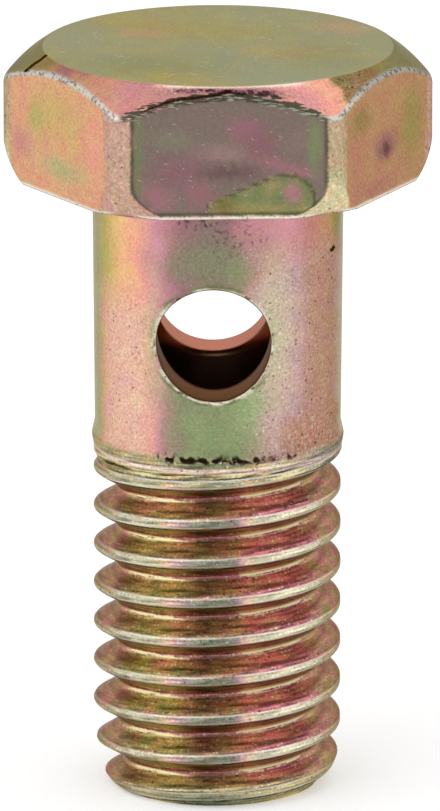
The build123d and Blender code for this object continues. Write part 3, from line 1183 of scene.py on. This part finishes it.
# Directions of the scratches, as turns round Z and Y in radians
SCRATCH_TURNS = ((0.25, 0.2), (-0.5, 0.8), (0.7, -0.5))
# How wide one of the thread's rolled lines is, in mm
ROLLED_LINE = 0.085
# Lines along the thread, painted highlights in pale zinc beside the crest and painted shade in dark brown:
# place across it, half width, strength and colour
THREAD_LINES = (
    (0.345, 0.012, 1.0, "bare_zinc"),
    (0.545, 0.006, 0.9, "bare_zinc"),
    (0.585, 0.008, 0.6, "grime"),
    (0.290, 0.012, 0.8, "grime"),
)


def add(tree, kind, links, output=0, **settings):
    """Add a node and give one of its outputs.

    Settings name the node's attributes. Links give its inputs, in order or by identifier, and
    each is a value or another node's output.
    """
    node = tree.nodes.new(kind)
    for name, value in settings.items():
        setattr(node, name, value)
    by_identifier = {socket.identifier: socket for socket in node.inputs}
    pairs = links.items() if isinstance(links, dict) else enumerate(links)
    for key, value in pairs:
        socket = by_identifier[key] if isinstance(key, str) else node.inputs[key]
        if isinstance(value, bpy.types.NodeSocket):
            tree.links.new(value, socket)
        else:
            socket.default_value = value
    return node.outputs[output] if node.outputs else None


def per_metre(millimetre_size):
    """A texture scale in which one feature takes this many millimetres."""
    return 1 / (millimetre_size * MM)


class Plating:
    """The patterns of the plating, and the layers that lie over the film's own colour.

    A layer is a colour and the share with which it covers what is under it. Each method that
    is named for layers gives them in the order in which they are laid. lie holds the values
    that Finish has stored on the skin. off_grain is the grain's difference from its middle, and
    shakes the edges of what is drawn. The plating's real grain is finer than a tenth of a
    millimetre, and is drawn nearly that coarse so that it shows.
    """

    def __init__(self, tree, finish):
        node = partial(add, tree)
        self.node, self.finish = node, finish
        self.lie = {name: node(STORED, {}, "Fac", attribute_name=name) for name in Finish.BLANK}
        self.place = node("ShaderNodeTexCoord", {}, "Object")
        self.mottle = node(NOISE, {"Vector": self.place, "Scale": per_metre(0.6), "Detail": 3.0})
        fine = {"Vector": self.place, "Scale": per_metre(0.09), "Detail": 3.0, "Roughness": 0.7}
        self.grain = node(NOISE, fine)
        self.off_grain = node(MATH, [self.grain, 0.5], operation="SUBTRACT")

    def near_line(self, distance, half, soft, strength=1.0):
        """Strength within half of a line, falling to 0 over the soft distance beyond it."""
        away = self.node(MATH, [distance], operation="ABSOLUTE")
        ends = {"From Min": half, "From Max": half + soft, "To Min": strength, "To Max": 0.0}
        return self.node(RANGE, {"Value": away, **ends})

    def film(self):
        """The film's colour: its hue wanders over about half a millimetre and over each grain."""
        node = self.node
        tint = node(STORED, {}, "Color", attribute_name="tint")
        hue = node(MATH, [self.mottle, 0.08, 0.46], operation="MULTIPLY_ADD")
        hue = node(MATH, [self.off_grain, 0.05, hue], operation="MULTIPLY_ADD")
        dappled = node(MATH, [self.lie["grain"], 1.4, 0.25], operation="MULTIPLY_ADD")
        dappled = node(MATH, [self.off_grain, dappled, 1.0], operation="MULTIPLY_ADD")
        return node(TONE, {"Hue": hue, "Value": dappled, "Color": tint})

    def worn_layers(self):
        """The zinc, which rubbed places show through a broken film, and which also stands in for highlights
        on edges, crests and the burr.
        """
        node, worn = self.node, self.lie["worn"]
        rubbed = node(MATH, [self.grain, 1.4, worn], operation="MULTIPLY_ADD")
        rubbed = node(RANGE, {"Value": rubbed, "From Min": 0.55, "From Max": 1.45, "To Max": 1.3})
        yield self.finish.bare_zinc, node(MATH, [rubbed, worn], operation="MULTIPLY")

    def grain_layers(self):
        """Single grains of the plating, up to 0.09 mm across: pale ones, which are painted glints of light,
        and dull ones.
        """
        node, finish = self.node, self.finish
        grains = node(CELLS, {"Vector": self.place, "Scale": per_metre(0.10)})
        draws = node("ShaderNodeSeparateColor", [grains.node.outputs["Color"]])
        reach = node(MATH, [draws, 0.9, -0.80], operation="MULTIPLY_ADD")
        reach = node(MATH, [self.lie["grain"], 0.45, reach], operation="MULTIPLY_ADD")
        seen = node(MATH, [reach, grains], operation="SUBTRACT")
        seen = node(RANGE, {"Value": seen, "From Min": 0.0, "From Max": 0.14, "To Max": 0.60})
        pale = node(RANGE, {"Value": draws.node.outputs[1], "From Min": 0.25, "From Max": 0.30})
        kinds = {SHARE: pale, UNDER: finish.grime, OVER: finish.glint}
        yield node(MIX, kinds, 2, data_type="RGBA"), seen

    def scratch_layers(self):
        """Scratches: cells drawn out long and thin in three directions, a few of them pale."""
        node = self.node
        for turn, slant in SCRATCH_TURNS:
            size = (0.8 * MM, 0.08 * MM, 0.08 * MM)
            cell = {"Vector": self.place, "Rotation": (0.3, slant, turn), "Scale": size}
            drawn = node(MAPPING, cell, vector_type="TEXTURE")
            strokes = node(CELLS, {"Vector": drawn, "Scale": 1.0})
            draw = node("ShaderNodeSeparateColor", [strokes.node.outputs["Color"]])
            reach = node(MATH, [draw, 1.5, -1.18], operation="MULTIPLY_ADD")
            seen = node(MATH, [reach, strokes], operation="SUBTRACT")
            seen = node(RANGE, {"Value": seen, "From Min": 0.0, "From Max": 0.20, "To Max": 0.50})
            yield self.finish.bare_zinc, node(MATH, [seen, self.lie["scratched"]], operation="MULTIPLY")

    def rolled(self, helix_start, pitch):
        """Fine lines along the thread's helix, and the place across it.

        The place is 0 at the root and 0.5 at the crest. The lines are noise that is drawn out
        round the axis and fine across the thread.
        """
        node = self.node
        axes = node("ShaderNodeSeparateXYZ", [self.place]).node.outputs
        turned = node(MATH, [axes[1], axes[0]], operation="ARCTAN2")
        turned = node(MATH, [turned, 2 * np.pi], operation="DIVIDE")
        risen = node(MATH, [axes[2], per_metre(pitch), -helix_start / pitch], operation="MULTIPLY_ADD")
        across = node(MATH, [node(MATH, [risen, turned], operation="SUBTRACT")], operation="FRACT")
        drift = [node(MATH, [axis, per_metre(1.2)], operation="MULTIPLY") for axis in axes[:2]]
        stripes = node(MATH, [across, pitch / ROLLED_LINE], operation="MULTIPLY")
        along = node("ShaderNodeCombineXYZ", [*drift, stripes])
        return node(NOISE, {"Vector": along, "Scale": 1.0, "Detail": 2.0}), across

    def thread_layers(self, rolled, across):
        """The painted highlight where the thread's roots catch the light, then its pale and dark lines, which
        are painted highlights and painted shade, all broken.
        """
        node, lie = self.node, self.lie
        caught = node(MATH, [lie["streak"], 0.52, rolled], operation="MULTIPLY_ADD")
        caught = node(MATH, [self.off_grain, 0.5, caught], operation="MULTIPLY_ADD")
        caught = node(RANGE, {"Value": caught, "From Min": 0.80, "From Max": 0.95, "To Max": 0.9})
        yield self.finish.streak, caught
        wavy = node(MATH, [self.off_grain, 0.06, across], operation="MULTIPLY_ADD")
        broken = node(RANGE, {"Value": self.mottle, "From Min": 0.25, "From Max": 0.55})
        broken = node(MATH, [broken, lie["threaded"]], operation="MULTIPLY")
        for centre, half, strength, line_colour in THREAD_LINES:
            away = node(MATH, [wavy, centre], operation="SUBTRACT")
            drawn = self.near_line(away, half, 0.03, strength)
            yield getattr(self.finish, line_colour), node(MATH, [drawn, broken], operation="MULTIPLY")

    def flat_layers(self):
        """The stain's outline and the line round the dark flats."""
        away = self.node(MATH, [self.off_grain, 0.12, self.lie["stain"]], operation="MULTIPLY_ADD")
        yield self.finish.stain_line, self.near_line(away, 0.02, 0.08, 0.6)
        away = self.node(MATH, [self.off_grain, 0.16, self.lie["frame"]], operation="MULTIPLY_ADD")
        yield self.finish.frame_line, self.near_line(away, 0.02, 0.08, 0.7)

    def edge_layers(self):
        """The hexagon's upper edge: bare zinc, which also stands in for its highlight, with dark ticks, or a
        dark band with pale flecks.
        """
        node, lie, finish = self.node, self.lie, self.finish
        torn = node(NOISE, {"Vector": self.place, "Scale": per_metre(0.13), "Detail": 2.0})
        ticks = node(RANGE, {"Value": torn, "From Min": 0.50, "From Max": 0.62, "To Max": 0.7})
        away = node(MATH, [self.off_grain, 0.20, lie["edge"]], operation="MULTIPLY_ADD")
        whole = node(MATH, [1.0, lie["ragged"]], operation="SUBTRACT")
        bare = node(MATH, [whole, self.near_line(away, 0.045, 0.07, 0.95)], operation="MULTIPLY")
        ticked = {SHARE: ticks, UNDER: finish.bare_zinc, OVER: finish.frame_line}
        yield node(MIX, ticked, 2, data_type="RGBA"), bare

        # The torn lips are noise drawn out along the edge
        cell = {"Vector": self.place, "Scale": (0.5 * MM, 0.12 * MM, 0.07 * MM)}
        lips = node(MAPPING, cell, vector_type="TEXTURE")
        lips = node(NOISE, {"Vector": lips, "Scale": 1.0, "Detail": 3.0})
        away = node(MATH, [lie["edge"], -0.28], operation="ADD")
        away = node(MATH, [lips, 0.5, away], operation="MULTIPLY_ADD")
        dark = node(MATH, [self.near_line(away, 0.09, 0.05, 0.95), lie["ragged"]], operation="MULTIPLY")
        pale = node(RANGE, {"Value": lips, "From Min": 0.52, "From Max": 0.62, "To Max": 0.8})
        flecked = {SHARE: pale, UNDER: finish.frame_line, OVER: finish.fleck}
        yield node(MIX, flecked, 2, data_type="RGBA"), dark

    def fold_layers(self):
        """The fold on the chamfer, dark in its middle."""
        away = self.node(MATH, [self.off_grain, 0.15, self.lie["crease"]], operation="MULTIPLY_ADD")
        yield self.finish.crease, self.near_line(away, 0.05, 0.05, 0.9)
        yield self.finish.grime, self.near_line(away, 0.01, 0.04, 0.8)

    def grime_layers(self):
        """Grime in blots, which also lays painted shade in the thread's roots, its fading groove, the fillet
        under the head and the cross hole's near wall, and the dull colours of the drilled walls and of the
        bore.
        """
        node, lie, finish = self.node, self.lie, self.finish
        blots = node(NOISE, {"Vector": self.place, "Scale": per_metre(0.16), "Detail": 3.0})
        blots = node(MATH, [blots, 1.2, lie["soil"]], operation="MULTIPLY_ADD")
        blots = node(RANGE, {"Value": blots, "From Min": 0.98, "From Max": 1.18})
        thick = node(MATH, [lie["soil"], 1.6], operation="MULTIPLY", use_clamp=True)
        yield finish.grime, node(MATH, [blots, thick], operation="MULTIPLY")
        yield finish.hole_wall, node(MATH, [lie["inner"], 2.0], operation="MULTIPLY", use_clamp=True)
        deep = node(MATH, [lie["inner"], 2.0, -1.0], operation="MULTIPLY_ADD", use_clamp=True)
        yield finish.inside, deep

    def bump(self):
        """Unevenness of a few thousandths of a millimetre, part coarse and part as fine as the grain."""
        coarse = self.node(NOISE, {"Vector": self.place, "Scale": per_metre(0.35), "Detail": 2.0})
        height = self.node(MATH, [self.grain, 0.6, coarse], operation="MULTIPLY_ADD")
        return self.node("ShaderNodeBump", {"Height": height, "Strength": 0.35, "Distance": 0.02 * MM})


def passivated_zinc(finish, helix_start, pitch):
    """Yellow chromate over electroplated zinc.

    To the eye it is satin metal under a film whose colour runs from olive through gold, pink
    and green as it thickens, mottled and grained by the plating, and grey white where it is rubbed.
    Painted light and shade, painted highlights and painted glints lie in its colour as well.
    """
    material = bpy.data.materials.new("yellow_chromate_zinc")
    material.use_nodes = True
    tree = material.node_tree
    tree.nodes.clear()
    plating = Plating(tree, finish)
    node, lie = plating.node, plating.lie
    skin = plating.film()
    for colour, share in (*plating.worn_layers(), *plating.grain_layers(), *plating.scratch_layers()):
        skin = node(MIX, {SHARE: share, UNDER: skin, OVER: colour}, 2, data_type="RGBA")

    # The thread's rolled lines darken and lighten what is there as painted light and shade along the helix,
    # under its drawn lines
    rolled, across = plating.rolled(helix_start, pitch)
    lines = {"Value": rolled, "From Min": 0.33, "From Max": 0.67, "To Min": -0.6, "To Max": 0.5}
    lines = node(MATH, [node(RANGE, lines), lie["threaded"], 1.0], operation="MULTIPLY_ADD")
    skin = node(TONE, {"Value": lines, "Color": skin})
    drawn = (*plating.thread_layers(rolled, across), *plating.flat_layers(), *plating.edge_layers())
    for colour, share in (*drawn, *plating.fold_layers(), *plating.grime_layers()):
        skin = node(MIX, {SHARE: share, UNDER: skin, OVER: colour}, 2, data_type="RGBA")

    # Painted light and shade darkens or lightens the whole colour
    shade = node("ShaderNodeCombineColor", [lie["shade"]] * 3)
    shaded = {SHARE: 1.0, UNDER: skin, OVER: shade}
    skin = node(MIX, shaded, 2, data_type="RGBA", blend_type="MULTIPLY")
    dull = node(MATH, [lie["inner"], 0.8], operation="MULTIPLY")
    glancing = {SHARE: dull, UNDER: finish.glancing, OVER: finish.grime}
    links = {
        "Base Color": skin,
        "Metallic": 1.0,
        "Roughness": node(MATH, [plating.mottle, 0.16, 0.28], operation="MULTIPLY_ADD"),
        "Specular Tint": node(MIX, glancing, 2, data_type="RGBA"),
        "Normal": plating.bump(),
    }
    node("ShaderNodeOutputMaterial", {"Surface": node("ShaderNodeBsdfPrincipled", links)})
    return material


# ---------------------------------------------------------------- operators


class BOLT_OT_body(bpy.types.Operator):
    """Build the bolt's skin with its finish"""

    bl_idname = "banjo_bolt.body"
    bl_label = "Bolt"

    def execute(self, context):
        outline = Outline(context.scene.bolt_sizes)
        colours = context.scene.bolt_finish
        mesh = bolt_mesh("bolt_skin", outline)
        paint(mesh, outline, colours)
        mesh.materials.append(passivated_zinc(colours, outline.helix_start(), outline.pitch))
        bolt = bpy.data.objects.new("bolt_skin", mesh)
        context.scene.collection.objects.link(bolt)
        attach(bolt, "root")
        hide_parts("banjo_bolt")
        return {"FINISHED"}


def white_when_seen(tree, plain, strength):
    """A surface's plain shader with white light added where the camera or a reflection sees it."""
    path = add(tree, "ShaderNodeLightPath", {}).node.outputs
    seen = add(tree, MATH, [path["Is Camera Ray"], path["Is Glossy Ray"]], operation="ADD")
    seen = add(tree, MATH, [seen, path["Is Transmission Ray"]], operation="ADD", use_clamp=True)
    seen = add(tree, MATH, [seen, strength], operation="MULTIPLY")
    glow = add(tree, "ShaderNodeEmission", {"Color": (1, 1, 1, 1), "Strength": seen})
    return add(tree, "ShaderNodeAddShader", [plain, glow])


def stage_floor():
    """A square of floor under the bolt, as matt white card.

    To the eye it is an even white with no shine, which keeps the bolt's soft shadow.
    """
    across = np.linspace(-FLOOR_REACH, FLOOR_REACH, 3)
    x, y = np.meshgrid(across, across, indexing="ij")
    points = np.stack([x, y, np.full_like(x, CAD_BOX[0][2])], axis=-1).reshape(-1, 3)
    index = np.arange(9).reshape(3, 3)
    squares = np.stack([index[:-1, :-1], index[1:, :-1], index[1:, 1:], index[:-1, 1:]], axis=-1)
    mesh = bpy.data.meshes.new("floor")
    mesh.from_pydata(points, [], squares.reshape(-1, 4))
    material = bpy.data.materials.new("matt_white_card")
    material.use_nodes = True
    tree = material.node_tree
    tree.nodes.clear()
    plain = add(tree, "ShaderNodeBsdfDiffuse", {"Color": (0.8, 0.8, 0.8, 1)})
    add(tree, "ShaderNodeOutputMaterial", {"Surface": white_when_seen(tree, plain, 0.30)})
    mesh.materials.append(material)
    return bpy.data.objects.new("floor", mesh)


class BOLT_OT_stage(bpy.types.Operator):
    """Set the floor, the light and the camera"""

    bl_idname = "banjo_bolt.stage"
    bl_label = "Stage"

    def execute(self, context):
        scene = context.scene
        floor = stage_floor()
        scene.collection.objects.link(floor)
        world = bpy.data.worlds.new("studio")
        world.use_nodes = True
        background = world.node_tree.nodes["Background"].inputs
        background["Color"].default_value = (1, 1, 1, 1)
        background["Strength"].default_value = 0.95
        scene.world = world
        panel = bpy.data.lights.new("soft_panel", "AREA")
        panel.shape = "SQUARE"
        panel.size = LAMP_WIDTH
        panel.energy = 0.5
        lamp = bpy.data.objects.new("soft_panel", panel)
        lamp.location = LAMP_PLACE
        lamp.rotation_euler = (-Vector(LAMP_PLACE)).to_track_quat("-Z", "Y").to_euler()
        scene.collection.objects.link(lamp)
        camera = bpy.data.cameras.new("camera")
        camera.sensor_width = SENSOR_WIDTH
        camera.lens = FOCAL_LENGTH * SENSOR_WIDTH / IMAGE_HEIGHT
        camera.clip_start = 0.01
        eye = bpy.data.objects.new("camera", camera)
        level = cos(EYE_PITCH)
        forward = Vector((sin(EYE_YAW) * level, cos(EYE_YAW) * level, -sin(EYE_PITCH)))
        right = Vector((cos(EYE_YAW), -sin(EYE_YAW), 0))
        up = right.cross(forward)
        turn = Matrix((right, up, -forward)).transposed() @ Matrix.Rotation(EYE_ROLL, 3, "Z")
        eye.matrix_world = Matrix.Translation(EYE) @ turn.to_4x4()
        scene.collection.objects.link(eye)
        scene.camera = eye
        scene.view_settings.view_transform = "Standard"
        return {"FINISHED"}


class BOLT_PT_panel(bpy.types.Panel):
    """The bolt's pieces, sizes and colours"""

    bl_idname = "BOLT_PT_panel"
    bl_label = "Banjo bolt"
    bl_space_type = "VIEW_3D"
    bl_region_type = "UI"
    bl_category = "Banjo bolt"

    def draw(self, context):
        for operator in (BOLT_OT_stage, BOLT_OT_body):
            self.layout.operator(operator.bl_idname)
        for group in (context.scene.bolt_sizes, context.scene.bolt_finish):
            column = self.layout.column()
            for name in group.__annotations__:
                column.prop(group, name)


CLASSES = (BoltSizes, BoltFinish, BOLT_OT_stage, BOLT_OT_body, BOLT_PT_panel)


def register():
    for cls in CLASSES:
        bpy.utils.register_class(cls)
    bpy.types.Scene.bolt_sizes = bpy.props.PointerProperty(type=BoltSizes)
    bpy.types.Scene.bolt_finish = bpy.props.PointerProperty(type=BoltFinish)


def unregister():
    del bpy.types.Scene.bolt_finish
    del bpy.types.Scene.bolt_sizes
    for cls in reversed(CLASSES):
        bpy.utils.unregister_class(cls)


def main():
    register()
    bpy.ops.banjo_bolt.stage()
    bpy.ops.banjo_bolt.body()


if __name__ == "__main__":
    main()
